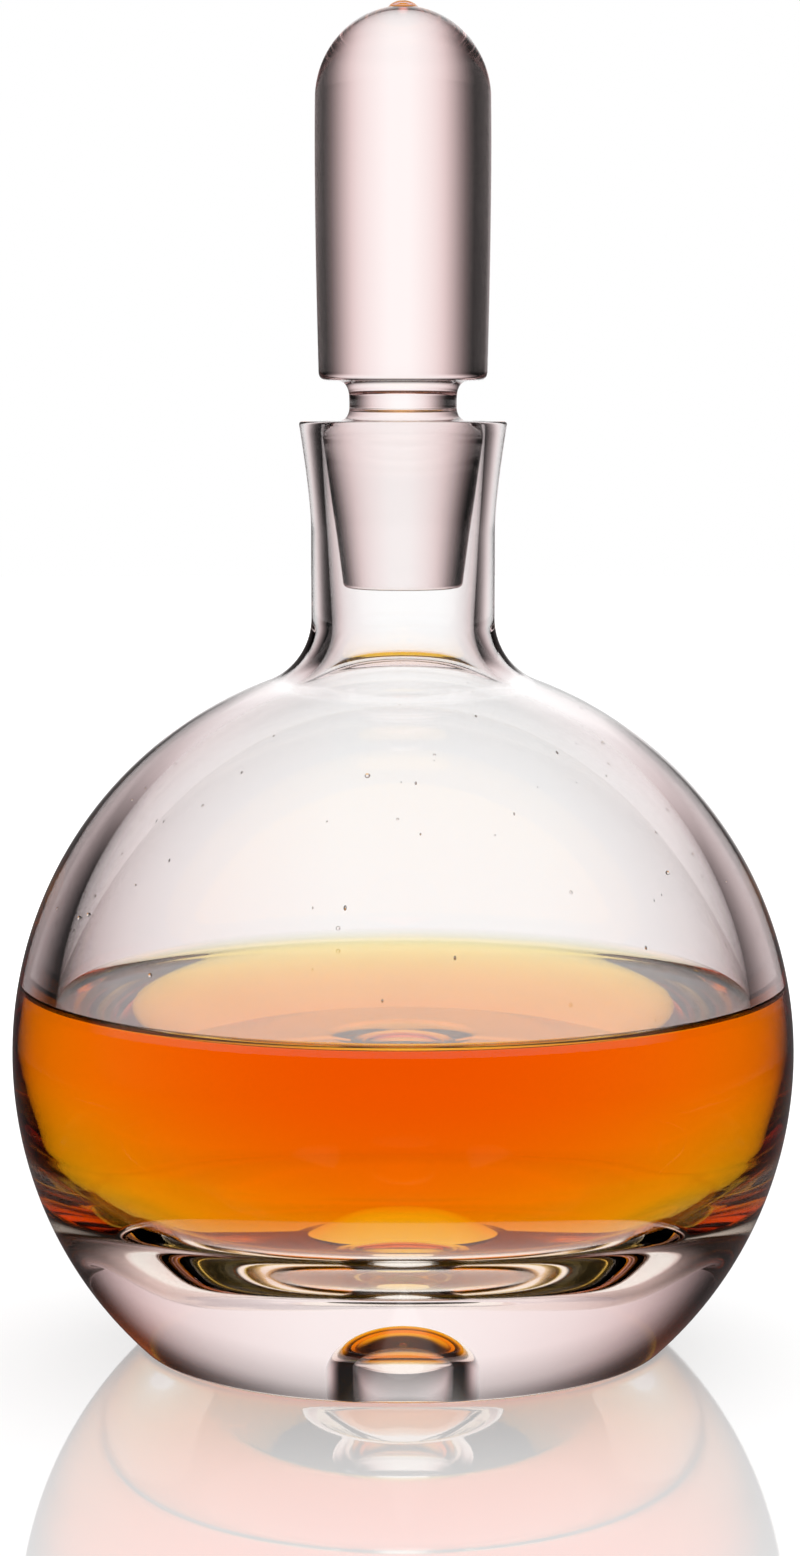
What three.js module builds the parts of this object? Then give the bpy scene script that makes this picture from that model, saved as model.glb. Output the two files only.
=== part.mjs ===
// Cognac decanter: a thick blown glass flask, its solid glass stopper and the cognac in it.
// Sizes are in millimetres, +Z is up, and the origin is the middle of the foot.

import * as THREE from 'three';

// Globe of the flask, outside
const globeRadius = 70;
const globeHalfHeight = 71;
const globeCentre = 53;
const footEdge = 1;

// Neck of the flask, outside
const neckRadius = 16.35;
const shoulderFillet = 12;
const flareStart = 146;
const rimRadius = 18.45;
const rimHeight = 165.7;
const rimEdge = 0.6;
const flareCornerShare = 0.3;

// Bore, which widens evenly from the throat to the mouth
const throatRadius = 12.7;
const throatHeight = 131;
const mouthRadius = 14.7;

// Cavity inside the globe: an ellipse above its widest part. Below it the wall turns at a sloping heel
// into a flat ledge, and a round well is pressed into the middle of the ledge.
const cavityRadius = 62.8;
const cavityCentre = 54.5;
const cavityRise = 65.5;
const throatFillet = 14;
const heelInset = 5.8;
const heelRise = 11.1;
const heelSlope = 0.93;
const ledgeHeight = 28.8;
const ledgeRadius = 41.5;
const wellFloor = 23.6;
const wellRadius = 18.2;
const wellBrim = 29.8;

// Low dome in the middle of the well, over the punched recess in the underside
const humpRadius = 11;
const humpHeight = 5;
const recessRadius = 9.1;
const recessHeight = 19.8;
const recessCrown = 6;

// Stopper: a plug ground to the bore, a short neck and a tall round-topped finial.
// Its heights are counted from the rim, so that it keeps its seat when the flask's height changes.
const plugClearance = 0.3;
const plugTop = -2.5;
const plugBottom = -29.7;
const plugBottomRadius = 10.75;
const plugEdge = 1.2;
const plugShoulderRadius = 12.1;
const stopperNeckRadius = 9.55;
const stopperNeckBottom = 2.5;
const stopperNeckTop = 3.9;
const finialBottom = 7.1;
const finialSeatRadius = 12.1;
const finialFootRadius = 15;
const finialEdge = 1.7;
const finialRadius = 15.55;
const finialBulge = 15.8;
const finialBulgeHeight = 39.9;
const finialDomeStart = 56.3;
const finialDomeRise = 16.2;
const tipRadius = 2.8;
const tipCrownRadius = 1.7;
const tipHeight = 1;

// Cognac, clear of the glass by a hair so that the two solids don't share a face
const fillLevel = 62.5;
const fillClearance = 0.3;
const meniscusRise = 1.4;
const meniscusReach = 7.5;
const meniscusCornerShare = 0.3;

// Facets round the axis
const flaskFacets = 48;
const stopperFacets = 36;

const point = (radius, height) => new THREE.Vector2(radius, height);
const line = (from, to) => new THREE.LineCurve(from, to);
const bend = (from, corner, to) => new THREE.QuadraticBezierCurve(from, corner, to);

// Points along an ellipse round (x, y), from one angle to another
function arc(x, y, radiusX, radiusY, from, to) {
  return new THREE.EllipseCurve(x, y, radiusX, radiusY, from, to, to < from);
}

// Joins stretches of [curve, steps] into one outline, without doubling the points where they meet
function outline(stretches) {
  const points = [];
  for (const [curve, steps] of stretches) {
    const own = curve.getPoints(steps);
    points.push(...(points.length ? own.slice(1) : own));
  }
  return points;
}

// Turns an outline round the Z axis; it runs from the axis at the bottom, outwards, and back to the axis
function turned(name, points, facets, material) {
  const geometry = new THREE.LatheGeometry(points, facets);
  geometry.rotateX(Math.PI / 2);
  const mesh = new THREE.Mesh(geometry, material);
  mesh.name = name;
  return mesh;
}

// A globe is an ellipse turned round Z. The angle is 0 at its widest part and a quarter turn at its top.
function globePoint(globe, angle) {
  return point(globe.radius * Math.cos(angle), globe.centre + globe.rise * Math.sin(angle));
}

function globeNormal(globe, angle) {
  return point(Math.cos(angle) / globe.radius, Math.sin(angle) / globe.rise).normalize();
}

function globeAngleAtHeight(globe, height) {
  return Math.asin((height - globe.centre) / globe.rise);
}

// Where a hollow fillet of this radius leaves the globe to run up into a neck, and the fillet's centre
function shoulder(globe, neck, fillet) {
  let low = 0;
  let high = Math.PI / 2;
  let centre = point(0, 0);
  for (let i = 0; i < 50; i++) {
    const middle = (low + high) / 2;
    centre = globePoint(globe, middle).addScaledVector(globeNormal(globe, middle), fillet);
    if (centre.x > neck + fillet) low = middle;
    else high = middle;
  }
  const normal = globeNormal(globe, low);
  return { angle: low, centre, turn: Math.atan2(-normal.y, -normal.x) + 2 * Math.PI };
}

const outside = { radius: globeRadius, rise: globeHalfHeight, centre: globeCentre };
const inside = { radius: cavityRadius, rise: cavityRise, centre: cavityCentre };

function boreRadius(height) {
  const share = (height - throatHeight) / (rimHeight - throatHeight);
  return throatRadius + (mouthRadius - throatRadius) * share;
}

// Height of the cavity's floor within the ledge: a well pressed softly into it, with a low dome in its middle
function floorHeight(radius) {
  const share = Math.min(1, Math.max(0, (radius - wellRadius) / (wellBrim - wellRadius)));
  const pressed = wellFloor + (ledgeHeight - wellFloor) * share * share * (3 - 2 * share);
  if (radius >= humpRadius) return pressed;
  return pressed + humpHeight * 0.5 * (1 + Math.cos(Math.PI * radius / humpRadius));
}

// The cavity's outline from the axis at its floor up to its widest part
function floorPoints() {
  const heel = point(cavityRadius - heelInset, ledgeHeight + heelRise);
  const ledgeEnd = point(ledgeRadius, ledgeHeight);
  const lowCorner = point(Math.max(ledgeRadius, heel.x - heelRise / heelSlope), ledgeHeight);
  const highCorner = point(cavityRadius, heel.y + heelInset * heelSlope);
  const points = [];
  for (let i = 0; i <= 6; i++) {
    const radius = humpRadius * i / 6;
    points.push(point(radius, floorHeight(radius)));
  }
  for (let i = 0; i <= 6; i++) {
    const radius = wellRadius + (wellBrim - wellRadius) * i / 6;
    points.push(point(radius, floorHeight(radius)));
  }
  const wall = outline([
    [bend(ledgeEnd, lowCorner, heel), 6],
    [bend(heel, highCorner, point(cavityRadius, cavityCentre)), 4],
  ]);
  return [...points, ...wall];
}

function flaskOutline() {
  const foot = globePoint(outside, globeAngleAtHeight(outside, 0));
  const footTurnAngle = globeAngleAtHeight(outside, footEdge);
  const footTurn = globePoint(outside, footTurnAngle);
  const outer = shoulder(outside, neckRadius, shoulderFillet);
  const inner = shoulder(inside, throatRadius, throatFillet);
  const flareFrom = point(neckRadius, flareStart);
  const flareCorner = point(neckRadius, flareStart + (rimHeight - flareStart) * flareCornerShare);
  const rimTurn = point(rimRadius, rimHeight - rimEdge);
  const lip = point(rimRadius - rimEdge, rimHeight);
  const mouth = point(mouthRadius + rimEdge, rimHeight);
  const boreTop = point(boreRadius(rimHeight - rimEdge), rimHeight - rimEdge);
  const throatTop = point(throatRadius, Math.max(throatHeight, inner.centre.y));
  const throat = point(throatRadius, inner.centre.y);
  return [
    ...outline([
      [arc(0, recessHeight - recessCrown, recessRadius, recessCrown, Math.PI / 2, 0), 6],
      [line(point(recessRadius, recessHeight - recessCrown), point(recessRadius, 0)), 1],
      [line(point(recessRadius, 0), point(foot.x - footEdge, 0)), 1],
      [bend(point(foot.x - footEdge, 0), foot, footTurn), 3],
      [arc(0, globeCentre, globeRadius, globeHalfHeight, footTurnAngle, outer.angle), 18],
      [arc(outer.centre.x, outer.centre.y, shoulderFillet, shoulderFillet, outer.turn, Math.PI), 6],
      [line(point(neckRadius, outer.centre.y), flareFrom), 1],
      [bend(flareFrom, flareCorner, rimTurn), 6],
      [bend(rimTurn, point(rimRadius, rimHeight), lip), 2],
      [line(lip, mouth), 1],
      [bend(mouth, point(mouthRadius, rimHeight), boreTop), 2],
      [line(boreTop, throatTop), 1],
      [line(throatTop, throat), 1],
      [arc(inner.centre.x, inner.centre.y, throatFillet, throatFillet, Math.PI, inner.turn), 6],
      [arc(0, cavityCentre, cavityRadius, cavityRise, inner.angle, 0), 11],
    ]),
    ...floorPoints().reverse().slice(1),
  ];
}

// The stopper's outline, raised by the height of the rim it sits in
function stopperOutline() {
  const plugTopRadius = boreRadius(rimHeight + plugTop) - plugClearance;
  const plugTurn = point(plugBottomRadius, plugBottom + plugEdge);
  const neckTop = point(stopperNeckRadius, stopperNeckTop);
  const neckBottom = point(stopperNeckRadius, stopperNeckBottom);
  const finialSeat = point(finialSeatRadius, finialBottom);
  const finialTurn = point(finialFootRadius - finialEdge, finialBottom);
  const finialSide = point(finialFootRadius, finialBottom + finialEdge);
  const domeStart = point(finialRadius, finialDomeStart);
  const tipAngle = Math.acos(tipRadius / finialRadius);
  const domeEnd = point(tipRadius, finialDomeStart + finialDomeRise * Math.sin(tipAngle));
  const top = finialDomeStart + finialDomeRise + tipHeight;
  const points = outline([
    [line(point(0, plugBottom), point(plugBottomRadius - plugEdge, plugBottom)), 1],
    [bend(point(plugBottomRadius - plugEdge, plugBottom), point(plugBottomRadius, plugBottom), plugTurn), 3],
    [line(plugTurn, point(plugTopRadius, plugTop)), 1],
    [bend(point(plugTopRadius, plugTop), point(plugTopRadius, 0), point(plugShoulderRadius, 0)), 4],
    [bend(point(plugShoulderRadius, 0), point(stopperNeckRadius, 0), neckBottom), 4],
    [line(neckBottom, neckTop), 1],
    [bend(neckTop, point(stopperNeckRadius, finialBottom), finialSeat), 4],
    [line(finialSeat, finialTurn), 1],
    [bend(finialTurn, point(finialFootRadius, finialBottom), finialSide), 3],
    [bend(finialSide, point(finialBulge, finialBulgeHeight), domeStart), 6],
    [arc(0, finialDomeStart, finialRadius, finialDomeRise, 0, tipAngle), 9],
    [bend(domeEnd, point(tipCrownRadius, top), point(0, top)), 3],
  ]);
  return points.map((here) => point(here.x, here.y + rimHeight));
}

// The cognac follows the cavity's floor and wall, and its surface climbs a little at the glass
function cognacOutline() {
  const wall = floorPoints();
  const brim = globeAngleAtHeight(inside, fillLevel + meniscusRise);
  for (let i = 1; i <= 3; i++) wall.push(globePoint(inside, brim * i / 3));
  const points = wall.map((here, i) => {
    const before = wall[Math.max(0, i - 1)];
    const after = wall[Math.min(wall.length - 1, i + 1)];
    const along = after.clone().sub(before).normalize();
    return point(Math.max(0, here.x - along.y * fillClearance), here.y + along.x * fillClearance);
  });
  points[0].x = 0;
  const edge = points[points.length - 1];
  const flat = point(edge.x - meniscusReach, fillLevel);
  const corner = point(edge.x - meniscusReach * meniscusCornerShare, fillLevel);
  const surface = outline([
    [bend(edge, corner, flat), 4],
    [line(flat, point(0, fillLevel)), 1],
  ]);
  return [...points, ...surface.slice(1)];
}

const glass = new THREE.MeshStandardMaterial({
  color: 0xf3e9e8,
  roughness: 0.04,
  metalness: 0,
  transparent: true,
  opacity: 0.4,
});

const stopperGlass = glass.clone();

const cognacLiquid = new THREE.MeshStandardMaterial({
  color: 0xe86a08,
  roughness: 0.05,
  metalness: 0,
  transparent: true,
  opacity: 0.85,
});

const decanter = new THREE.Group();
decanter.add(turned('decanter_body', flaskOutline(), flaskFacets, glass));
decanter.add(turned('stopper', stopperOutline(), stopperFacets, stopperGlass));
decanter.add(turned('cognac', cognacOutline(), flaskFacets, cognacLiquid));

export default decanter;
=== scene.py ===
# Cognac decanter: the looks of a thick blown glass flask, its solid glass stopper and the cognac in it.
# Sizes are written in millimetres, as in the part's source, and become metres where a piece is made.
# The studio's own sizes are in metres.

import math

import bpy
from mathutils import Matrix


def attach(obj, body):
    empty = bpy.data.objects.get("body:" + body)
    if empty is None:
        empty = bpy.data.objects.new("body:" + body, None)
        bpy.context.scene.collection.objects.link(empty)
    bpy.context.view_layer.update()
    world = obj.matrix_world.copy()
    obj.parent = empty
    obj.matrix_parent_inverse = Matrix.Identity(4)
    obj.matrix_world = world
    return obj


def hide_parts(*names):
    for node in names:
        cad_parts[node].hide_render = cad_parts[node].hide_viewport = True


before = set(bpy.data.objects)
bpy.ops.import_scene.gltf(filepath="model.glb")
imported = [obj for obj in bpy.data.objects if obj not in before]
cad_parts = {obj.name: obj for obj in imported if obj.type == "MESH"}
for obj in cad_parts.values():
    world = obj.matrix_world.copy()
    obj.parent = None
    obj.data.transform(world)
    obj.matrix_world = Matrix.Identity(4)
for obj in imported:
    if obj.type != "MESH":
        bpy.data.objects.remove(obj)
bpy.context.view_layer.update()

scene = bpy.context.scene
MM = 0.001

# Globe, neck and rim of the flask, outside
GLOBE_RADIUS, GLOBE_RISE, GLOBE_CENTRE, FOOT_EDGE = 70.0, 71.0, 53.0, 1.0
NECK_RADIUS, SHOULDER_FILLET, FLARE_START, FLARE_CORNER = 16.35, 12.0, 146.0, 0.3
RIM_RADIUS, RIM_HEIGHT, RIM_EDGE = 18.45, 165.7, 0.6

# Bore and cavity, inside
THROAT_RADIUS, THROAT_HEIGHT, MOUTH_RADIUS, THROAT_FILLET = 12.7, 131.0, 14.7, 14.0
CAVITY_RADIUS, CAVITY_RISE, CAVITY_CENTRE = 62.8, 65.5, 54.5
LEDGE_HEIGHT, LEDGE_RADIUS = 28.53, 41.3
WALL_BEND = [(43.0, 28.53), (51.11, 34.24), (55.2, 39.19), (55.82, 39.62), (62.8, 50.0)]
WELL_FLOOR, WELL_RADIUS, WELL_BRIM = 22.7, 25, 41
HUMP_RADIUS, HUMP_HEIGHT, HUMP_FLATNESS = 14, 5, 1.6
RECESS_RADIUS, RECESS_HEIGHT, RECESS_CROWN = 9.1, 19.8, 6.0

# Stopper, with its heights counted from the rim it sits in
PLUG_CLEARANCE, PLUG_TOP, PLUG_BOTTOM = 0.3, -2.5, -29.7
PLUG_BOTTOM_RADIUS, PLUG_EDGE, PLUG_SHOULDER = 10.75, 1.2, 12.1
STEM_RADIUS, STEM_BOTTOM, STEM_TOP = 9.55, 2.5, 3.9
FINIAL_BOTTOM, FINIAL_SEAT, FINIAL_FOOT, FINIAL_EDGE = 7.1, 12.1, 15.0, 1.7
FINIAL_RADIUS, FINIAL_BULGE, DOME_START, DOME_RISE = 15.55, 15.8, 56.3, 16.2
PIP_RADIUS, PIP_HEIGHT, PIP_CROWN = 2.8, 1.0, 0.6

# Cognac: it is sunk a hair into the glass, so that no film of air shows between the two
LEVEL, SINK, MENISCUS_RISE, MENISCUS_REACH, MENISCUS_FALL = 62.5, 0.3, 2.0, 8.0, 5.0

# The wall that cognac wets lies within this share of the globe's outside and under the level by this margin,
# and the free surface keeps this share of its mirror
WET_WITHIN, LEVEL_MARGIN, SURFACE_MIRROR = 0.95, 0.4, 0.6

# Steps in which the stretches of the outlines are drawn
RECESS_STEPS, FOOT_STEPS, GLOBE_STEPS, FILLET_STEPS, FLARE_STEPS, RIM_STEPS = 20, 6, 90, 18, 16, 4
CAVITY_STEPS, HUMP_STEPS, WELL_STEPS, WALL_STEPS, BRIM_STEPS, SURFACE_STEPS = 70, 30, 40, 80, 12, 24
PLUG_STEPS, STEM_STEPS, SIDE_STEPS, DOME_STEPS, PIP_STEPS = 6, 10, 30, 36, 8

# Outline points closer than this in millimetres are one, mesh points closer than this in metres are joined,
# and edges that turn by more than this stay crisp
SAME_POINT, JOINED_WITHIN, CRISP_FROM = 1e-6, 2e-6, math.radians(40)

# A seed bubble's width, depth and length, how far streaks are drawn out, and where a smudge is at its full
SEED_SHAPE, STREAK_LENGTH, SMUDGE_FULL = (0.8, 0.8, 1.5), 4.0, 0.85


def arc(x, y, radius_x, radius_y, start, end, steps):
    """Points along an ellipse round (x, y), from one angle to another."""
    turns = [start + (end - start) * i / steps for i in range(steps + 1)]
    return [(x + radius_x * math.cos(t), y + radius_y * math.sin(t)) for t in turns]


def bend(start, corner, end, steps):
    """Points along a soft corner."""
    points = []
    for i in range(steps + 1):
        t = i / steps
        shares = (1 - t) ** 2, 2 * t * (1 - t), t * t
        points.append(tuple(sum(s * p[k] for s, p in zip(shares, (start, corner, end))) for k in (0, 1)))
    return points


def soft_curve(start, pulls, end, steps):
    """Points along an even curve that is drawn towards a row of points: a cubic B-spline."""
    degree, hair = 3, 1e-9
    posts = [start, *pulls, end]
    spans = len(posts) - degree
    knots = [0.0] * degree + [float(k) for k in range(spans + 1)] + [float(spans)] * degree
    points = []
    for i in range(steps + 1):
        t = min(spans * i / steps, spans - hair)
        span = degree + int(t)
        near = [posts[span - degree + k] for k in range(degree + 1)]
        for level in range(1, degree + 1):
            for k in range(degree, level - 1, -1):
                low = knots[span - degree + k]
                share = (t - low) / (knots[span + 1 + k - level] - low)
                near[k] = tuple((1 - share) * a + share * b for a, b in zip(near[k - 1], near[k]))
        points.append(near[degree])
    return points


def outline(*stretches):
    """Joins stretches of points, without doubling the points where they meet."""
    points = []
    for stretch in stretches:
        for here in stretch:
            if not points or math.dist(here, points[-1]) > SAME_POINT:
                points.append(here)
    return points


def globe_angle(rise, centre, height):
    """The angle at which a globe's outline passes a height."""
    return math.asin((height - centre) / rise)


def shoulder(radius, rise, centre, neck, fillet):
    """Where a hollow fillet leaves a globe to run up into a neck.

    Gives the globe's angle there, the fillet's centre and the angle at which the fillet starts.
    """
    low, high = 0.0, math.pi / 2
    halvings = 50
    for _ in range(halvings):
        middle = (low + high) / 2
        nx, ny = math.cos(middle) / radius, math.sin(middle) / rise
        long = math.hypot(nx, ny)
        x = radius * math.cos(middle) + nx / long * fillet
        y = centre + rise * math.sin(middle) + ny / long * fillet
        if x > neck + fillet:
            low = middle
        else:
            high = middle
    return low, (x, y), math.atan2(-ny, -nx) + 2 * math.pi


def bore_radius(height):
    """The ground bore's radius at a height: it widens evenly from the throat to the mouth."""
    share = (height - THROAT_HEIGHT) / (RIM_HEIGHT - THROAT_HEIGHT)
    return THROAT_RADIUS + (MOUTH_RADIUS - THROAT_RADIUS) * share


def floor_height(radius):
    """Height of the cavity's floor within the ledge: a pressed well, with a low dome in its middle."""
    share = min(1, max(0, (radius - WELL_RADIUS) / (WELL_BRIM - WELL_RADIUS)))
    pressed = WELL_FLOOR + (LEDGE_HEIGHT - WELL_FLOOR) * share * share * (3 - 2 * share)
    if radius >= HUMP_RADIUS:
        return pressed
    return pressed + HUMP_HEIGHT * 0.5 * (1 + math.cos(math.pi * (radius / HUMP_RADIUS) ** HUMP_FLATNESS))


def floor_points():
    """The cavity's outline from the axis at its floor, over the ledge and up the wall to its widest part."""
    hump = [HUMP_RADIUS * i / HUMP_STEPS for i in range(HUMP_STEPS + 1)]
    well = [WELL_RADIUS + (WELL_BRIM - WELL_RADIUS) * i / WELL_STEPS for i in range(WELL_STEPS + 1)]
    return outline(
        [(r, floor_height(r)) for r in hump + well],
        soft_curve((LEDGE_RADIUS, LEDGE_HEIGHT), WALL_BEND, (CAVITY_RADIUS, CAVITY_CENTRE), WALL_STEPS),
    )


def flask_outline():
    """The flask's outline: down the recess, over foot and globe, round the rim and down the inside."""
    foot_angle = globe_angle(GLOBE_RISE, GLOBE_CENTRE, 0)
    turn_angle = globe_angle(GLOBE_RISE, GLOBE_CENTRE, FOOT_EDGE)
    foot = GLOBE_RADIUS * math.cos(foot_angle)
    foot_turn = GLOBE_RADIUS * math.cos(turn_angle), FOOT_EDGE
    outer, outer_fillet, outer_turn = shoulder(
        GLOBE_RADIUS, GLOBE_RISE, GLOBE_CENTRE, NECK_RADIUS, SHOULDER_FILLET)
    inner, inner_fillet, inner_turn = shoulder(
        CAVITY_RADIUS, CAVITY_RISE, CAVITY_CENTRE, THROAT_RADIUS, THROAT_FILLET)
    flare_corner = NECK_RADIUS, FLARE_START + (RIM_HEIGHT - FLARE_START) * FLARE_CORNER
    rim_turn = RIM_HEIGHT - RIM_EDGE
    rim_end = RIM_RADIUS - RIM_EDGE, RIM_HEIGHT
    mouth_start = MOUTH_RADIUS + RIM_EDGE, RIM_HEIGHT
    mouth_turn = bore_radius(rim_turn), rim_turn
    recess_side = RECESS_HEIGHT - RECESS_CROWN
    return outline(
        arc(0, recess_side, RECESS_RADIUS, RECESS_CROWN, math.pi / 2, 0, RECESS_STEPS),
        [(RECESS_RADIUS, recess_side / 2), (RECESS_RADIUS, 0), (foot / 2, 0), (foot - FOOT_EDGE, 0)],
        bend((foot - FOOT_EDGE, 0), (foot, 0), foot_turn, FOOT_STEPS),
        arc(0, GLOBE_CENTRE, GLOBE_RADIUS, GLOBE_RISE, turn_angle, outer, GLOBE_STEPS),
        arc(*outer_fillet, SHOULDER_FILLET, SHOULDER_FILLET, outer_turn, math.pi, FILLET_STEPS),
        [(NECK_RADIUS, FLARE_START)],
        bend((NECK_RADIUS, FLARE_START), flare_corner, (RIM_RADIUS, rim_turn), FLARE_STEPS),
        bend((RIM_RADIUS, rim_turn), (RIM_RADIUS, RIM_HEIGHT), rim_end, RIM_STEPS),
        bend(mouth_start, (MOUTH_RADIUS, RIM_HEIGHT), mouth_turn, RIM_STEPS),
        [(THROAT_RADIUS, THROAT_HEIGHT)],
        arc(*inner_fillet, THROAT_FILLET, THROAT_FILLET, math.pi, inner_turn, FILLET_STEPS),
        arc(0, CAVITY_CENTRE, CAVITY_RADIUS, CAVITY_RISE, inner, 0, CAVITY_STEPS),
        floor_points()[::-1],
    )


def stopper_outline():
    """The stopper's outline, with its heights counted from the rim."""
    plug_top = bore_radius(RIM_HEIGHT + PLUG_TOP) - PLUG_CLEARANCE
    tip_angle = math.acos(PIP_RADIUS / FINIAL_RADIUS)
    top = DOME_START + DOME_RISE + PIP_HEIGHT
    plug_side = PLUG_BOTTOM_RADIUS, PLUG_BOTTOM + PLUG_EDGE
    plug_edge = PLUG_BOTTOM_RADIUS - PLUG_EDGE, PLUG_BOTTOM
    foot_edge = FINIAL_FOOT - FINIAL_EDGE, FINIAL_BOTTOM
    foot_side = FINIAL_FOOT, FINIAL_BOTTOM + FINIAL_EDGE
    seat = FINIAL_SEAT, FINIAL_BOTTOM
    waist = FINIAL_BULGE, (FINIAL_BOTTOM + 2 * DOME_START) / 3
    pip_foot = PIP_RADIUS, DOME_START + DOME_RISE * math.sin(tip_angle)
    points = outline(
        [(0, PLUG_BOTTOM)],
        bend(plug_edge, (PLUG_BOTTOM_RADIUS, PLUG_BOTTOM), plug_side, PLUG_STEPS),
        bend((plug_top, PLUG_TOP), (plug_top, 0), (PLUG_SHOULDER, 0), STEM_STEPS),
        bend((PLUG_SHOULDER, 0), (STEM_RADIUS, 0), (STEM_RADIUS, STEM_BOTTOM), STEM_STEPS),
        bend((STEM_RADIUS, STEM_TOP), (STEM_RADIUS, FINIAL_BOTTOM), seat, STEM_STEPS),
        bend(foot_edge, (FINIAL_FOOT, FINIAL_BOTTOM), foot_side, STEM_STEPS),
        bend(foot_side, waist, (FINIAL_RADIUS, DOME_START), SIDE_STEPS),
        arc(0, DOME_START, FINIAL_RADIUS, DOME_RISE, 0, tip_angle, DOME_STEPS),
        bend(pip_foot, (PIP_RADIUS * PIP_CROWN, top), (0, top), PIP_STEPS),
    )
    return [(radius, height + RIM_HEIGHT) for radius, height in points]


def cognac_outline():
    """The cognac's outline: sunk into the glass by a hair, with a surface that climbs at the wall."""
    brim = globe_angle(CAVITY_RISE, CAVITY_CENTRE, LEVEL + MENISCUS_RISE)
    wall = outline(
        floor_points(),
        arc(0, CAVITY_CENTRE, CAVITY_RADIUS, CAVITY_RISE, 0, brim, BRIM_STEPS),
    )
    sunk = []
    for i, (x, y) in enumerate(wall):
        before, after = wall[max(0, i - 1)], wall[min(len(wall) - 1, i + 1)]
        long = math.dist(before, after)
        across = (after[1] - before[1]) / long, (before[0] - after[0]) / long
        sunk.append((x + across[0] * SINK if i else 0.0, y + across[1] * SINK))
    surface = []
    for i in range(SURFACE_STEPS + 1):
        share = i / SURFACE_STEPS
        climb = MENISCUS_RISE * math.exp(-MENISCUS_FALL * share) * (1 - share)
        surface.append((sunk[-1][0] - MENISCUS_REACH * share, LEVEL + climb))
    return outline(sunk, surface, [(surface[-1][0] / 2, LEVEL), (0, LEVEL)])


class Tree:
    """A node tree under construction: add() places a node and wires or sets its inputs by name or number."""

    def __init__(self, tree):
        self.tree = tree

    def add(self, kind, inputs=None, **settings):
        node = self.tree.nodes.new(kind)
        for name, value in settings.items():
            setattr(node, name, value)
        for key, value in (inputs or {}).items():
            socket = node.inputs[key]
            if isinstance(value, bpy.types.NodeSocket):
                self.tree.links.new(value, socket)
            else:
                socket.default_value = value
        return node

    def join(self, a, b):
        self.tree.links.new(a, b)

    def maths(self, operation, a, b=0.0, c=0.0):
        """What a sum on numbers makes."""
        return self.add("ShaderNodeMath", {0: a, 1: b, 2: c}, operation=operation).outputs[0]

    def vectors(self, operation, a, b=None):
        """What a sum on vectors makes; the second value is a number where a vector is scaled."""
        inputs = {0: a}
        if b is not None:
            inputs["Scale" if operation == "SCALE" else 1] = b
        node = self.add("ShaderNodeVectorMath", inputs, operation=operation)
        return node.outputs["Value" if operation in ("LENGTH", "DOT_PRODUCT") else 0]

    def fade(self, value, low, high, before=0.0, after=1.0):
        """Goes from before to after while the value goes from low to high."""
        node = self.add("ShaderNodeMapRange", {
            "Value": value, "From Min": low, "From Max": high, "To Min": before, "To Max": after})
        return node.outputs[0]


def geometry_tree(name, sockets):
    """A Geometry Nodes tree with named inputs, given as (name, socket type)."""
    tree = bpy.data.node_groups.new(name, "GeometryNodeTree")
    tree.interface.new_socket("Geometry", in_out="INPUT", socket_type="NodeSocketGeometry")
    for label, kind in sockets:
        tree.interface.new_socket(label, in_out="INPUT", socket_type=kind)
    tree.interface.new_socket("Geometry", in_out="OUTPUT", socket_type="NodeSocketGeometry")
    return Tree(tree), tree.nodes.new("NodeGroupInput"), tree.nodes.new("NodeGroupOutput")


def end_tree(kit, geometry, given, made):
    """Ends a Geometry Nodes tree: makes its instances real and gives all of it the material handed in."""
    real = kit.add("GeometryNodeRealizeInstances", {0: geometry})
    dressed = kit.add("GeometryNodeSetMaterial", {
        "Geometry": real.outputs[0], "Material": given.outputs["Material"]})
    kit.join(dressed.outputs[0], made.inputs[0])
    return kit.tree


def drawn_between(kit, given, low, high):
    """A random value for each point, between two of the tree's inputs."""
    node = kit.add("FunctionNodeRandomValue", {
        "Min": given.outputs[low], "Max": given.outputs[high], "Seed": given.outputs["Seed"]})
    return node.outputs["Value"]


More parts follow.
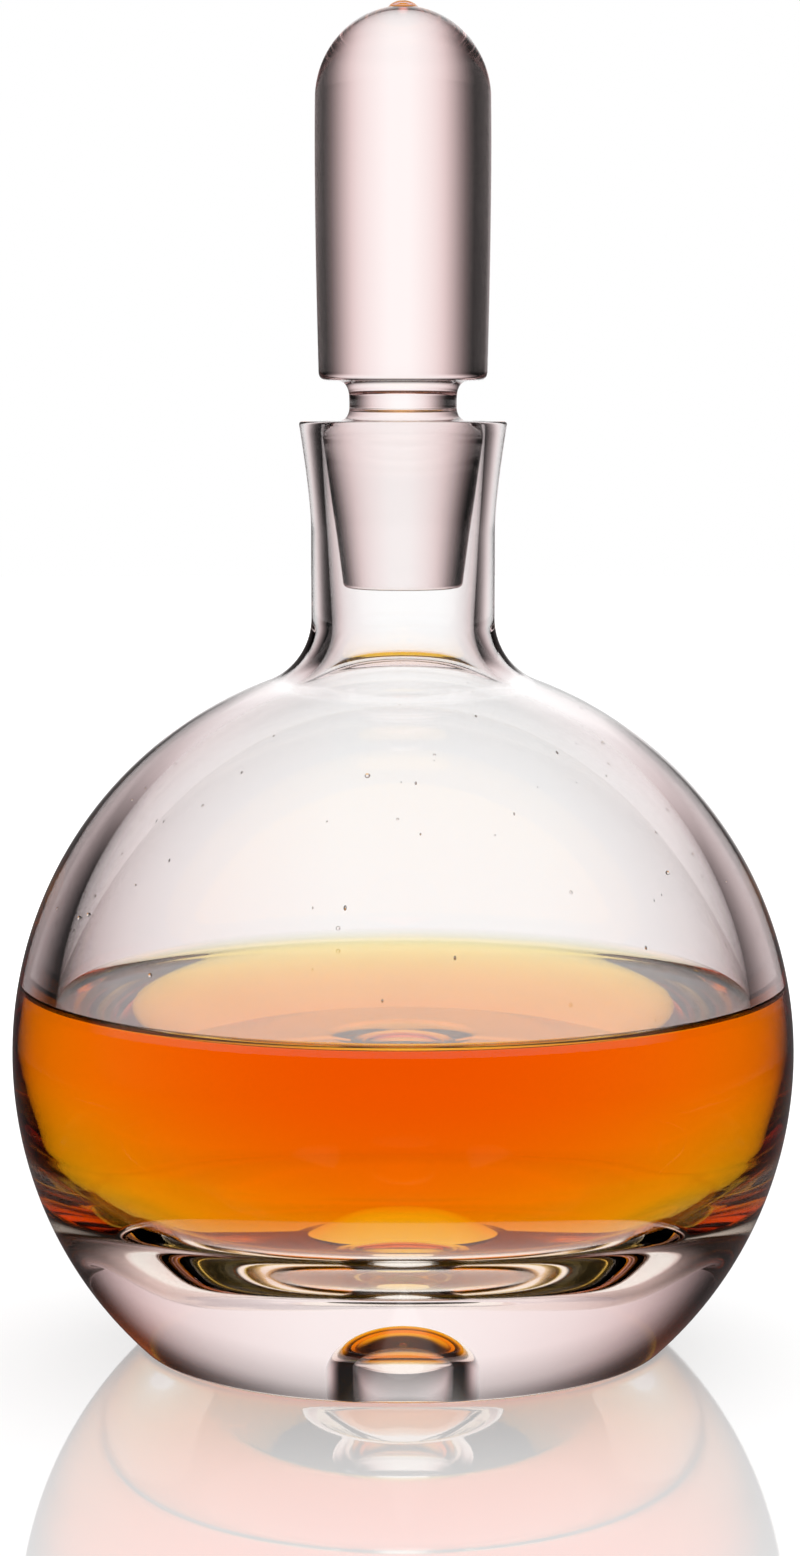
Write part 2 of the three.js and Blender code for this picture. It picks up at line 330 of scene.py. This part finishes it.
def turning_tree():
    """Turns an outline, given as a mesh of points in order, round the Z axis."""
    kit, given, made = geometry_tree("Turned outline", [
        ("Facets", "NodeSocketInt"),
        ("Waviness", "NodeSocketFloat"),
        ("Wave Size", "NodeSocketFloat"),
        ("Seed", "NodeSocketFloat"),
        ("Material", "NodeSocketMaterial"),
    ])
    outline_points = given.outputs["Geometry"]
    size = kit.add("GeometryNodeAttributeDomainSize", {0: outline_points}, component="MESH")
    count = size.outputs["Point Count"]
    columns = kit.maths("ADD", given.outputs["Facets"], 1.0)
    grid = kit.add("GeometryNodeMeshGrid", {"Vertices X": columns, "Vertices Y": count})
    index = kit.add("GeometryNodeInputIndex").outputs[0]
    row = kit.maths("MODULO", index, count)
    column = kit.maths("FLOOR", kit.maths("DIVIDE", kit.maths("ADD", index, 0.5), count))
    here = kit.add("GeometryNodeInputPosition").outputs[0]
    sample = kit.add(
        "GeometryNodeSampleIndex", {0: outline_points}, data_type="FLOAT_VECTOR", domain="POINT")
    kit.join(here, sample.inputs["Value"])
    kit.join(row, sample.inputs["Index"])
    parts = kit.add("ShaderNodeSeparateXYZ", {0: sample.outputs[0]})
    angle = kit.maths("DIVIDE", kit.maths("MULTIPLY", column, 2 * math.pi), given.outputs["Facets"])
    x = kit.maths("MULTIPLY", parts.outputs["X"], kit.maths("COSINE", angle))
    y = kit.maths("MULTIPLY", parts.outputs["X"], kit.maths("SINE", angle))
    place = kit.add("ShaderNodeCombineXYZ", {"X": x, "Y": y, "Z": parts.outputs["Z"]})
    turned = kit.add("GeometryNodeSetPosition", {
        "Geometry": grid.outputs["Mesh"], "Position": place.outputs[0]})
    closed = kit.add("GeometryNodeMergeByDistance", {
        "Geometry": turned.outputs[0], "Distance": JOINED_WITHIN})
    noise = kit.add("ShaderNodeTexNoise", {"Detail": 1.0, "W": given.outputs["Seed"]}, noise_dimensions="4D")
    kit.join(kit.maths("DIVIDE", 1.0, given.outputs["Wave Size"]), noise.inputs["Scale"])
    depth = kit.maths("MULTIPLY", noise.outputs[0], given.outputs["Waviness"])
    normal = kit.add("GeometryNodeInputNormal").outputs[0]
    inward = kit.vectors("SCALE", normal, kit.maths("MULTIPLY", depth, -1.0))
    waved = kit.add("GeometryNodeSetPosition", {"Geometry": closed.outputs[0], "Offset": inward})
    smooth = kit.add("GeometryNodeSetShadeSmooth", {"Geometry": waved.outputs[0]})
    corner = kit.add("GeometryNodeInputMeshEdgeAngle").outputs[0]
    sharp = kit.add("FunctionNodeCompare", {0: corner, 1: CRISP_FROM}, operation="GREATER_THAN")
    edged = kit.add("GeometryNodeSetShadeSmooth", {
        "Geometry": smooth.outputs[0], "Selection": sharp.outputs[0], "Shade Smooth": False}, domain="EDGE")
    return end_tree(kit, edged.outputs[0], given, made)


def scatter(kit, surface, given, middle):
    """Random points on a surface between two heights, where it faces away from a middle or towards it."""
    here = kit.add("GeometryNodeInputPosition").outputs[0]
    out = kit.vectors("SUBTRACT", here, middle)
    normal = kit.add("GeometryNodeInputNormal").outputs[0]
    facing = kit.vectors("DOT_PRODUCT", normal, out)
    side = kit.maths("GREATER_THAN", kit.maths("MULTIPLY", facing, given.outputs["Side"]), 0.0)
    height = kit.add("ShaderNodeSeparateXYZ", {0: here}).outputs["Z"]
    above = kit.maths("GREATER_THAN", height, given.outputs["Lowest"])
    below = kit.maths("LESS_THAN", height, given.outputs["Highest"])
    chosen = kit.maths("MULTIPLY", side, kit.maths("MULTIPLY", above, below))
    points = kit.add("GeometryNodeDistributePointsOnFaces", {
        "Mesh": surface, "Density": given.outputs["Per Square Metre"], "Seed": given.outputs["Seed"]})
    kit.join(chosen, points.inputs["Selection"])
    return points


def seed_tree():
    """Adds seeds, the small bubbles of blown glass, as hollows under the surface of a solid piece."""
    kit, given, made = geometry_tree("Seed bubbles", [
        ("Per Square Metre", "NodeSocketFloat"),
        ("Side", "NodeSocketFloat"),
        ("Lowest", "NodeSocketFloat"),
        ("Highest", "NodeSocketFloat"),
        ("Smallest", "NodeSocketFloat"),
        ("Largest", "NodeSocketFloat"),
        ("Shallowest", "NodeSocketFloat"),
        ("Deepest", "NodeSocketFloat"),
        ("Seed", "NodeSocketInt"),
        ("Material", "NodeSocketMaterial"),
    ])
    solid = given.outputs["Geometry"]
    points = scatter(kit, solid, given, (0, 0, GLOBE_CENTRE * MM))
    depth = drawn_between(kit, given, "Shallowest", "Deepest")
    inward = kit.vectors("SCALE", points.outputs["Normal"], kit.maths("MULTIPLY", depth, -1.0))
    sunk = kit.add("GeometryNodeSetPosition", {"Geometry": points.outputs["Points"], "Offset": inward})
    size = drawn_between(kit, given, "Smallest", "Largest")
    bubble = kit.add("GeometryNodeMeshIcoSphere", {"Radius": 1.0, "Subdivisions": 2})
    drawn = kit.add("GeometryNodeTransform", {"Geometry": bubble.outputs[0], "Scale": SEED_SHAPE})
    hollow = kit.add("GeometryNodeFlipFaces", {0: drawn.outputs[0]})
    smooth = kit.add("GeometryNodeSetShadeSmooth", {"Geometry": hollow.outputs[0]})
    placed = kit.add("GeometryNodeInstanceOnPoints", {
        "Points": sunk.outputs[0], "Instance": smooth.outputs[0], "Scale": size})
    both = kit.add("GeometryNodeJoinGeometry")
    kit.join(placed.outputs[0], both.inputs[0])
    kit.join(solid, both.inputs[0])
    return end_tree(kit, both.outputs[0], given, made)


def droplet_tree():
    """Flat round droplets that cling to one side of a piece of glass."""
    kit, given, made = geometry_tree("Clinging droplets", [
        ("Glass", "NodeSocketObject"),
        ("Per Square Metre", "NodeSocketFloat"),
        ("Side", "NodeSocketFloat"),
        ("Lowest", "NodeSocketFloat"),
        ("Highest", "NodeSocketFloat"),
        ("Smallest", "NodeSocketFloat"),
        ("Largest", "NodeSocketFloat"),
        ("Flatness", "NodeSocketFloat"),
        ("Seed", "NodeSocketInt"),
        ("Material", "NodeSocketMaterial"),
    ])
    glass = kit.add("GeometryNodeObjectInfo", {"Object": given.outputs["Glass"]}).outputs["Geometry"]
    points = scatter(kit, glass, given, (0, 0, GLOBE_CENTRE * MM))
    size = drawn_between(kit, given, "Smallest", "Largest")
    bead = kit.add("GeometryNodeMeshIcoSphere", {"Radius": 1.0, "Subdivisions": 3})
    squash = kit.add("ShaderNodeCombineXYZ", {"X": 1.0, "Y": 1.0, "Z": given.outputs["Flatness"]})
    flat = kit.add("GeometryNodeTransform", {"Geometry": bead.outputs[0], "Scale": squash.outputs[0]})
    smooth = kit.add("GeometryNodeSetShadeSmooth", {"Geometry": flat.outputs[0]})
    placed = kit.add("GeometryNodeInstanceOnPoints", {
        "Points": points.outputs["Points"], "Instance": smooth.outputs[0],
        "Rotation": points.outputs["Rotation"], "Scale": size})
    return end_tree(kit, placed.outputs[0], given, made)


def apply_tree(piece, tree, values):
    """Puts a tree on a piece as a modifier and sets its inputs by their sockets' identifiers."""
    modifier = piece.modifiers.new(tree.name, "NODES")
    modifier.node_group = tree
    for item in tree.interface.items_tree:
        if item.in_out == "INPUT" and item.name in values:
            modifier[item.identifier] = values[item.name]


def made_plain(piece):
    """Turns what the modifiers make into the piece's own plain mesh, and takes them off."""
    graph = bpy.context.evaluated_depsgraph_get()
    mesh = bpy.data.meshes.new_from_object(piece.evaluated_get(graph), depsgraph=graph)
    piece.modifiers.clear()
    piece.data = mesh
    mesh.name = piece.name


def new_piece(name, points=()):
    """An object at the origin, whose mesh is a row of outline points in metres."""
    mesh = bpy.data.meshes.new(name)
    mesh.from_pydata([(radius * MM, 0, height * MM) for radius, height in points], [], [])
    piece = bpy.data.objects.new(name, mesh)
    scene.collection.objects.link(piece)
    return piece


def shader_group(name, inputs, outputs):
    """A shader node group with inputs, given as (name, type, value), and outputs, as (name, type)."""
    tree = bpy.data.node_groups.new(name, "ShaderNodeTree")
    for label, kind, value in inputs:
        socket = tree.interface.new_socket(label, in_out="INPUT", socket_type=kind)
        if value is not None:
            socket.default_value = value
    for label, kind in outputs:
        tree.interface.new_socket(label, in_out="OUTPUT", socket_type=kind)
    return Tree(tree), tree.nodes.new("NodeGroupInput"), tree.nodes.new("NodeGroupOutput")


def blown_waves_group():
    """Slow waves and finer streaks of glass that was blown and turned, as a height from 0 to 1."""
    kit, given, made = shader_group("Blown waves", [
        ("Vector", "NodeSocketVector", None),
        ("Wave Scale", "NodeSocketFloat", 40.0),
        ("Streak Scale", "NodeSocketFloat", 160.0),
        ("Streak Share", "NodeSocketFloat", 0.2),
    ], [("Height", "NodeSocketFloat")])
    waves = kit.add("ShaderNodeTexNoise", {
        "Vector": given.outputs["Vector"], "Scale": given.outputs["Wave Scale"], "Detail": 1.0})
    squeeze = 1 / STREAK_LENGTH
    squeezed = kit.vectors("MULTIPLY", given.outputs["Vector"], (squeeze, squeeze, 1.0))
    streaks = kit.add("ShaderNodeTexNoise", {
        "Vector": squeezed, "Scale": given.outputs["Streak Scale"], "Detail": 2.0})
    slow = kit.maths("MULTIPLY", waves.outputs[0], kit.maths("SUBTRACT", 1.0, given.outputs["Streak Share"]))
    fine = kit.maths("MULTIPLY", streaks.outputs[0], given.outputs["Streak Share"])
    kit.join(kit.maths("ADD", slow, fine), made.inputs["Height"])
    return kit.tree


def handling_marks_group():
    """Faint smudges from wiping and handling, as a roughness between a clean and a marked value."""
    kit, given, made = shader_group("Handling marks", [
        ("Vector", "NodeSocketVector", None),
        ("Scale", "NodeSocketFloat", 30.0),
        ("Threshold", "NodeSocketFloat", 0.6),
        ("Clean", "NodeSocketFloat", 0.0),
        ("Marked", "NodeSocketFloat", 0.05),
    ], [("Roughness", "NodeSocketFloat")])
    smears = kit.add("ShaderNodeTexNoise", {
        "Vector": given.outputs["Vector"], "Scale": given.outputs["Scale"],
        "Detail": 4.0, "Distortion": 0.6})
    rough = kit.fade(
        smears.outputs[0], given.outputs["Threshold"], SMUDGE_FULL,
        given.outputs["Clean"], given.outputs["Marked"])
    kit.join(rough, made.inputs["Roughness"])
    return kit.tree


def wetted_wall(kit, where):
    """1 where the flask's wall shows its full mirror, 0 where cognac wets it and it hardly mirrors."""
    from_centre = kit.vectors("SUBTRACT", where, (0, 0, GLOBE_CENTRE * MM))
    wide, high = 1 / GLOBE_RADIUS / MM, 1 / GLOBE_RISE / MM
    out = kit.vectors("LENGTH", kit.vectors("MULTIPLY", from_centre, (wide, wide, high)))
    within = kit.maths("LESS_THAN", out, WET_WITHIN)
    height = kit.add("ShaderNodeSeparateXYZ", {0: where}).outputs["Z"]
    above_recess = kit.maths("GREATER_THAN", height, (RECESS_HEIGHT + WELL_FLOOR) / 2 * MM)
    under_level = kit.maths("LESS_THAN", height, (LEVEL - LEVEL_MARGIN) * MM)
    wet = kit.maths("MULTIPLY", within, kit.maths("MULTIPLY", above_recess, under_level))
    return kit.maths("SUBTRACT", 1.0, wet)


def free_surface(kit, where):
    """The cognac's mirror: part of it on the free surface, 0 where the cognac touches the glass."""
    height = kit.add("ShaderNodeSeparateXYZ", {0: where}).outputs["Z"]
    free = kit.maths("GREATER_THAN", height, (LEVEL - LEVEL_MARGIN) * MM)
    return kit.maths("MULTIPLY", free, SURFACE_MIRROR)


def glass_like(name, ior, body_colour, body_density, waves=None, marks=None, mirror=None):
    """A clear material: Principled glass with a coloured body.

    It may have gentle waves, handling marks and a mirror that is weaker in places.
    """
    material = bpy.data.materials.new(name)
    material.use_nodes = True
    kit = Tree(material.node_tree)
    kit.tree.nodes.clear()
    end = kit.add("ShaderNodeOutputMaterial")
    surface = kit.add("ShaderNodeBsdfPrincipled", {
        "Base Color": (1, 1, 1, 1), "Roughness": 0.0, "IOR": ior, "Transmission Weight": 1.0})
    kit.join(surface.outputs[0], end.inputs["Surface"])
    body = kit.add("ShaderNodeVolumeAbsorption", {"Color": (*body_colour, 1), "Density": body_density})
    kit.join(body.outputs[0], end.inputs["Volume"])
    where = kit.add("ShaderNodeTexCoord").outputs["Object"]
    if waves:
        wave = kit.add("ShaderNodeGroup", node_tree=blown_waves)
        kit.join(where, wave.inputs["Vector"])
        wave.inputs["Wave Scale"].default_value = waves["scale"]
        wave.inputs["Streak Scale"].default_value = waves["streak_scale"]
        wave.inputs["Streak Share"].default_value = waves["streak_share"]
        bump = kit.add("ShaderNodeBump", {
            "Strength": 1.0, "Distance": waves["height"] * MM, "Height": wave.outputs["Height"]})
        kit.join(bump.outputs[0], surface.inputs["Normal"])
    if mirror:
        kit.join(mirror(kit, where), surface.inputs["Specular Tint"])
    if marks:
        mark = kit.add("ShaderNodeGroup", node_tree=handling_marks)
        kit.join(where, mark.inputs["Vector"])
        mark.inputs["Scale"].default_value = marks["scale"]
        mark.inputs["Threshold"].default_value = marks["threshold"]
        mark.inputs["Marked"].default_value = marks["rough"]
        kit.join(mark.outputs["Roughness"], surface.inputs["Roughness"])
    return material


def ramp(kit, value, low, high, stops):
    """A colour ramp over a value from low to high, given as (value, red, green and blue)."""
    share = kit.maths("DIVIDE", kit.maths("SUBTRACT", value, low), high - low)
    node = kit.add("ShaderNodeValToRGB", {0: share})
    marks = node.color_ramp.elements
    while len(marks) > 1:
        marks.remove(marks[-1])
    for i, (place, red, rest) in enumerate(stops):
        position = (place - low) / (high - low)
        mark = marks[0] if i == 0 else marks.new(position)
        mark.position = position
        mark.color = (red, rest, rest, 1)
    return node.outputs[0]


def bent_or_mirrored(kit, path):
    """1 for a ray that has come through glass or off a mirroring surface, 0 for any other."""
    return kit.maths("MAXIMUM", path.outputs["Is Glossy Ray"], path.outputs["Is Transmission Ray"])


def mirrored(kit, path):
    """1 for a ray that a surface mirrors, 0 for one that comes through glass and for any other."""
    return kit.maths("SUBTRACT", path.outputs["Is Glossy Ray"], path.outputs["Is Transmission Ray"])


def room_round(kit, path, x, y, front):
    """What glass sees of the room round the decanter.

    A white panel stands behind it, with darkness beside it. Rays that have come through glass also see a
    dim white in front, as far as front says. A surface mirrors only the panel's middle.
    """
    degrees = kit.maths("DEGREES", kit.maths("ARCTAN2", x, y))
    turned = kit.maths("SUBTRACT", degrees, PANEL_TURN)
    aside = kit.maths("MAXIMUM", turned, kit.maths("MULTIPLY", turned, -PANEL_LEFT))
    back = ramp(kit, aside, 0, 180, BACK_PANEL)
    dim = kit.maths("MULTIPLY", ramp(kit, aside, 0, 180, FRONT_THROUGH), front)
    through = kit.vectors("ADD", back, dim)
    shown = kit.vectors("MULTIPLY", back, ramp(kit, aside, 0, 180, MIRRORED_SHARE))
    # Inputs 4 and 5 and output 1 are the ones for vectors
    mix = kit.add("ShaderNodeMix", {0: mirrored(kit, path), 4: through, 5: shown}, data_type="VECTOR")
    return mix.outputs[1]


def table_top():
    """Glossy white table: plain white with a soft shadow, partly cast by the lamp and partly painted as a
    dimmer glow near the decanter, which it also mirrors there.

    A ray that comes through glass or off it finds the room's panel there instead of the plain white.
    """
    material = bpy.data.materials.new("white_table")
    material.use_nodes = True
    kit = Tree(material.node_tree)
    kit.tree.nodes.clear()
    end = kit.add("ShaderNodeOutputMaterial")
    path = kit.add("ShaderNodeLightPath")
    from_glass = bent_or_mirrored(kit, path)
    where = kit.add("ShaderNodeTexCoord").outputs["Object"]
    parts = kit.add("ShaderNodeSeparateXYZ", {0: where})
    mottle = kit.add("ShaderNodeTexNoise", {"Vector": where, "Scale": MOTTLE_SCALE, "Detail": 3.0})
    white = kit.add("ShaderNodeBsdfDiffuse", {"Color": kit.fade(mottle.outputs[0], 0.0, 1.0, *TABLE_WHITES)})
    out = kit.vectors("LENGTH", where)
    # Painted shadow: near the decanter the camera sees the table glow less, a darker pool round its foot
    # that fades out further away
    plain = kit.fade(out, *MIRROR_AND_PAINTED_SHADOW_ENDS)
    bright = kit.maths("MULTIPLY_ADD", plain, TABLE_GLOW_FAR - TABLE_GLOW_IN_PAINTED_SHADOW, TABLE_GLOW_IN_PAINTED_SHADOW)
    camera_glow_with_painted_shadow = kit.maths("MULTIPLY", path.outputs["Is Camera Ray"], bright)
    glow = kit.add("ShaderNodeEmission", {"Color": (1, 1, 1, 1), "Strength": camera_glow_with_painted_shadow})
    body = kit.add("ShaderNodeAddShader", {0: white.outputs[0], 1: glow.outputs[0]})
    front = kit.fade(out, *FRONT_BEGINS)
    x = kit.maths("MULTIPLY", parts.outputs["X"], kit.fade(out, *PANEL_NARROWS, 1.0, NARROW_LOW))
    room = room_round(kit, path, x, kit.maths("ADD", parts.outputs["Y"], TABLE_SHIFT), front)
    lit = kit.add("ShaderNodeEmission", {"Color": room, "Strength": PANEL_STRENGTH})
    body = kit.add("ShaderNodeMixShader", {0: from_glass, 1: body.outputs[0], 2: lit.outputs[0]})
    face = kit.add("ShaderNodeBsdfGlossy", {"Color": (1, 1, 1, 1), "Roughness": TABLE_ROUGHNESS})
    fresnel = kit.add("ShaderNodeFresnel", {"IOR": TABLE_MIRROR})
    slant = kit.maths("MULTIPLY", fresnel.outputs[0], TABLE_GLOSS)
    near = kit.maths("MULTIPLY", kit.maths("SUBTRACT", 1.0, plain), path.outputs["Is Camera Ray"])
    share = kit.maths("MULTIPLY", kit.maths("MINIMUM", slant, 1.0), near)
    mixed = kit.add("ShaderNodeMixShader", {0: share, 1: body.outputs[0], 2: face.outputs[0]})
    kit.join(mixed.outputs[0], end.inputs["Surface"])
    return material


# What glass sees of the room, by the degrees from straight behind the decanter, as (degrees, red, green and
# blue): the white panel, and the dim white in front that only rays through glass see
BACK_PANEL = [
    (0, 1.0, 1.0), (6, 1.0, 1.0), (12, 0.98, 0.95), (20, 0.93, 0.86), (26, 0.86, 0.76), (31, 0.76, 0.64),
    (37, 0.55, 0.45), (44, 0.3, 0.24), (50, 0.14, 0.11), (55, 0.06, 0.05), (60, 0.01, 0.01),
    (180, 0.01, 0.01),
]
FRONT_THROUGH = [(0, 0.0, 0.0), (84, 0.0, 0.0), (96, 0.45, 0.45), (125, 0.6, 0.6), (180, 0.6, 0.6)]

# How much of the panel a surface mirrors, by the same degrees
MIRRORED_SHARE = [
    (0, 1.0, 1.0), (13, 1.0, 1.0), (17, 0.35, 0.35), (22, 0.12, 0.12), (60, 0.1, 0.1), (180, 0.1, 0.1),
]

# How much of the panel is there, by the degrees above the horizon
PANEL_TOP = [
    (-90, 1.0, 1.0), (26, 1.0, 1.0), (34, 0.7, 0.7), (40, 0.25, 0.25), (46, 0.05, 0.05), (60, 0.01, 0.01),
]

# The panel's brightness, the degrees that it is turned to the right, and how much sooner it ends on the left
PANEL_STRENGTH, PANEL_TURN, PANEL_LEFT = 1.08, 2.0, 1.12

# The panel is narrower near the horizon and wider above it, between these degrees; the dim white in front
# fades out between those
NARROW_LOW, WIDE_ABOVE, PANEL_WIDENS, FRONT_ENDS = 1.4, 0.75, (8.0, 20.0), (12.0, 5.0)

# What the room adds to plain light on the table
ROOM_FILL = 0.5

# The table's size and how far it lies under the foot, in metres, and the corners of its rim
TABLE_RADIUS, TABLE_GAP, TABLE_CORNERS = 3.0, 0.0001, 128

# The table's looks: its two whites and their pattern, its glow near the decanter, kept lower there as a
# painted shadow, and away from it, and its mirror's strength at a slant, gain and roughness
TABLE_WHITES, MOTTLE_SCALE, TABLE_GLOW_IN_PAINTED_SHADOW, TABLE_GLOW_FAR = (0.86, 0.9), 9.0, 0.54, 0.8
TABLE_MIRROR, TABLE_GLOSS, TABLE_ROUGHNESS = 2.2, 1.1, 0.015

# Metres from the axis between which the mirror and the painted shadow fade out, and between which glass sees
# the front's dim white begin and the panel narrow; on the table its degrees are counted from a point this
# far before the axis
MIRROR_AND_PAINTED_SHADOW_ENDS, FRONT_BEGINS, PANEL_NARROWS, TABLE_SHIFT = (0.14, 0.3), (0.2, 0.3), (0.15, 0.4), 0.08

# The lamp's strength, its spread and its turns in degrees: it shines from behind, a little from the right
LAMP_STRENGTH, LAMP_SPREAD, LAMP_TURNS = 0.5, 50, (-25, 8, 0)

# The camera's place and nearest distance in metres, its turns in degrees, its lens and sensor in millimetres
CAMERA_PLACE, CAMERA_NEAREST, CAMERA_TURNS = (0.0, -0.692, 0.170), 0.01, (84.4, 0, 0.045)
CAMERA_LENS, CAMERA_SENSOR = 90, 36

# Surfaces that a ray of light may pass, and those of them that may mirror it
MOST_SURFACES, MOST_MIRRORS = 24, 12


def studio_world():
    """A white room for the camera, and a dimmer one for plain light on the table.

    Glass sees a white panel behind it, and darkness beside the panel and above it.
    """
    world = bpy.data.worlds.new("studio")
    scene.world = world
    world.use_nodes = True
    kit = Tree(world.node_tree)
    kit.tree.nodes.clear()
    end = kit.add("ShaderNodeOutputWorld")
    direction = kit.add("ShaderNodeTexCoord").outputs["Generated"]
    parts = kit.add("ShaderNodeSeparateXYZ", {0: direction})
    path = kit.add("ShaderNodeLightPath")
    rise = kit.maths("DEGREES", kit.maths("ARCSINE", parts.outputs["Z"]))
    front = kit.fade(rise, *FRONT_ENDS)
    x = kit.maths("MULTIPLY", parts.outputs["X"], kit.fade(rise, *PANEL_WIDENS, NARROW_LOW, WIDE_ABOVE))
    panel = room_round(kit, path, x, parts.outputs["Y"], front)
    top = ramp(kit, rise, -90, 90, PANEL_TOP)
    shown = kit.vectors("MULTIPLY", kit.vectors("SCALE", panel, PANEL_STRENGTH), top)
    # Inputs 6 and 7 and output 2 are the ones for colours
    for ray, bright in (("Is Diffuse Ray", ROOM_FILL), ("Is Camera Ray", 1.0)):
        pick = kit.add("ShaderNodeMix", {
            0: path.outputs[ray], 6: shown, 7: (bright, bright, bright, 1)}, data_type="RGBA")
        shown = pick.outputs[2]
    light = kit.add("ShaderNodeBackground", {"Color": shown, "Strength": 1.0})
    kit.join(light.outputs[0], end.inputs["Surface"])


def overhead_lamp():
    """A wide soft lamp that lays the decanter's shadow on the table."""
    lamp = bpy.data.lights.new("overhead_lamp", "SUN")
    lamp.energy = LAMP_STRENGTH
    lamp.angle = math.radians(LAMP_SPREAD)
    holder = bpy.data.objects.new("overhead_lamp", lamp)
    scene.collection.objects.link(holder)
    holder.rotation_euler = [math.radians(turn) for turn in LAMP_TURNS]
    holder.visible_glossy = holder.visible_transmission = False


def table():
    """The round table top that the decanter stands on."""
    turns = [math.tau * k / TABLE_CORNERS for k in range(TABLE_CORNERS)]
    rim = [(TABLE_RADIUS * math.cos(turn), TABLE_RADIUS * math.sin(turn), -TABLE_GAP) for turn in turns]
    mesh = bpy.data.meshes.new("table")
    mesh.from_pydata(rim, [], [list(range(TABLE_CORNERS))])
    mesh.materials.append(table_top())
    top = bpy.data.objects.new("table", mesh)
    scene.collection.objects.link(top)


def camera():
    """The photograph's place: 69 cm in front of the axis, 17 cm up, looking down by 5.6 degrees."""
    eye = bpy.data.cameras.new("camera")
    eye.lens = CAMERA_LENS
    eye.sensor_width = CAMERA_SENSOR
    eye.clip_start = CAMERA_NEAREST
    holder = bpy.data.objects.new("camera", eye)
    scene.collection.objects.link(holder)
    holder.location = CAMERA_PLACE
    holder.rotation_euler = [math.radians(turn) for turn in CAMERA_TURNS]
    scene.camera = holder


blown_waves = blown_waves_group()
handling_marks = handling_marks_group()

flask_glass = glass_like(
    "flask_glass", ior=1.5, body_colour=(0.996, 0.971, 0.969), body_density=40.0,
    waves={"scale": 38.0, "streak_scale": 150.0, "streak_share": 0.12, "height": 0.03},
    marks={"scale": 26.0, "threshold": 0.62, "rough": 0.04}, mirror=wetted_wall)
stopper_glass = glass_like(
    "stopper_glass", ior=1.5, body_colour=(0.995, 0.918, 0.912), body_density=40.0,
    waves={"scale": 60.0, "streak_scale": 220.0, "streak_share": 0.2, "height": 0.02},
    marks={"scale": 60.0, "threshold": 0.62, "rough": 0.05})
cognac_liquid = glass_like(
    "cognac_liquid", ior=1.36, body_colour=(0.99, 0.845, 0.077), body_density=130.0, mirror=free_surface)
droplet_liquid = glass_like("droplet_liquid", ior=1.34, body_colour=(0.99, 0.9, 0.7), body_density=20.0)

turning = turning_tree()
seeds = seed_tree()
droplets_on_glass = droplet_tree()

flask = new_piece("flask", flask_outline())
apply_tree(flask, turning, {
    "Facets": 224, "Waviness": 0.02 * MM, "Wave Size": 0.04, "Seed": 3.0, "Material": flask_glass})
apply_tree(flask, seeds, {
    "Per Square Metre": 1500.0, "Side": 1.0, "Lowest": 62 * MM, "Highest": 118 * MM,
    "Smallest": 0.12 * MM, "Largest": 0.34 * MM, "Shallowest": 1.0 * MM, "Deepest": 2.6 * MM,
    "Seed": 11, "Material": flask_glass})
made_plain(flask)
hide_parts("decanter_body")
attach(flask, "flask")

stopper = new_piece("stopper_glass", stopper_outline())
apply_tree(stopper, turning, {
    "Facets": 160, "Waviness": 0.03 * MM, "Wave Size": 0.02, "Seed": 7.0, "Material": stopper_glass})
made_plain(stopper)
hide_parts("stopper")
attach(stopper, "stopper")

cognac = new_piece("cognac_fill", cognac_outline())
apply_tree(cognac, turning, {
    "Facets": 224, "Waviness": 0.0, "Wave Size": 0.04, "Seed": 1.0, "Material": cognac_liquid})
made_plain(cognac)
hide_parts("cognac")
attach(cognac, "flask")

droplets = new_piece("droplets")
apply_tree(droplets, droplets_on_glass, {
    "Glass": flask, "Per Square Metre": 1700.0, "Side": -1.0, "Lowest": 65 * MM, "Highest": 108 * MM,
    "Smallest": 0.18 * MM, "Largest": 0.48 * MM, "Flatness": 0.7, "Seed": 5, "Material": droplet_liquid})
made_plain(droplets)
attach(droplets, "flask")

table()
studio_world()
overhead_lamp()
camera()

scene.view_settings.view_transform = "Standard"
scene.cycles.max_bounces = MOST_SURFACES
scene.cycles.transmission_bounces = MOST_SURFACES
scene.cycles.glossy_bounces = MOST_MIRRORS
scene.cycles.caustics_reflective = True
scene.cycles.caustics_refractive = True
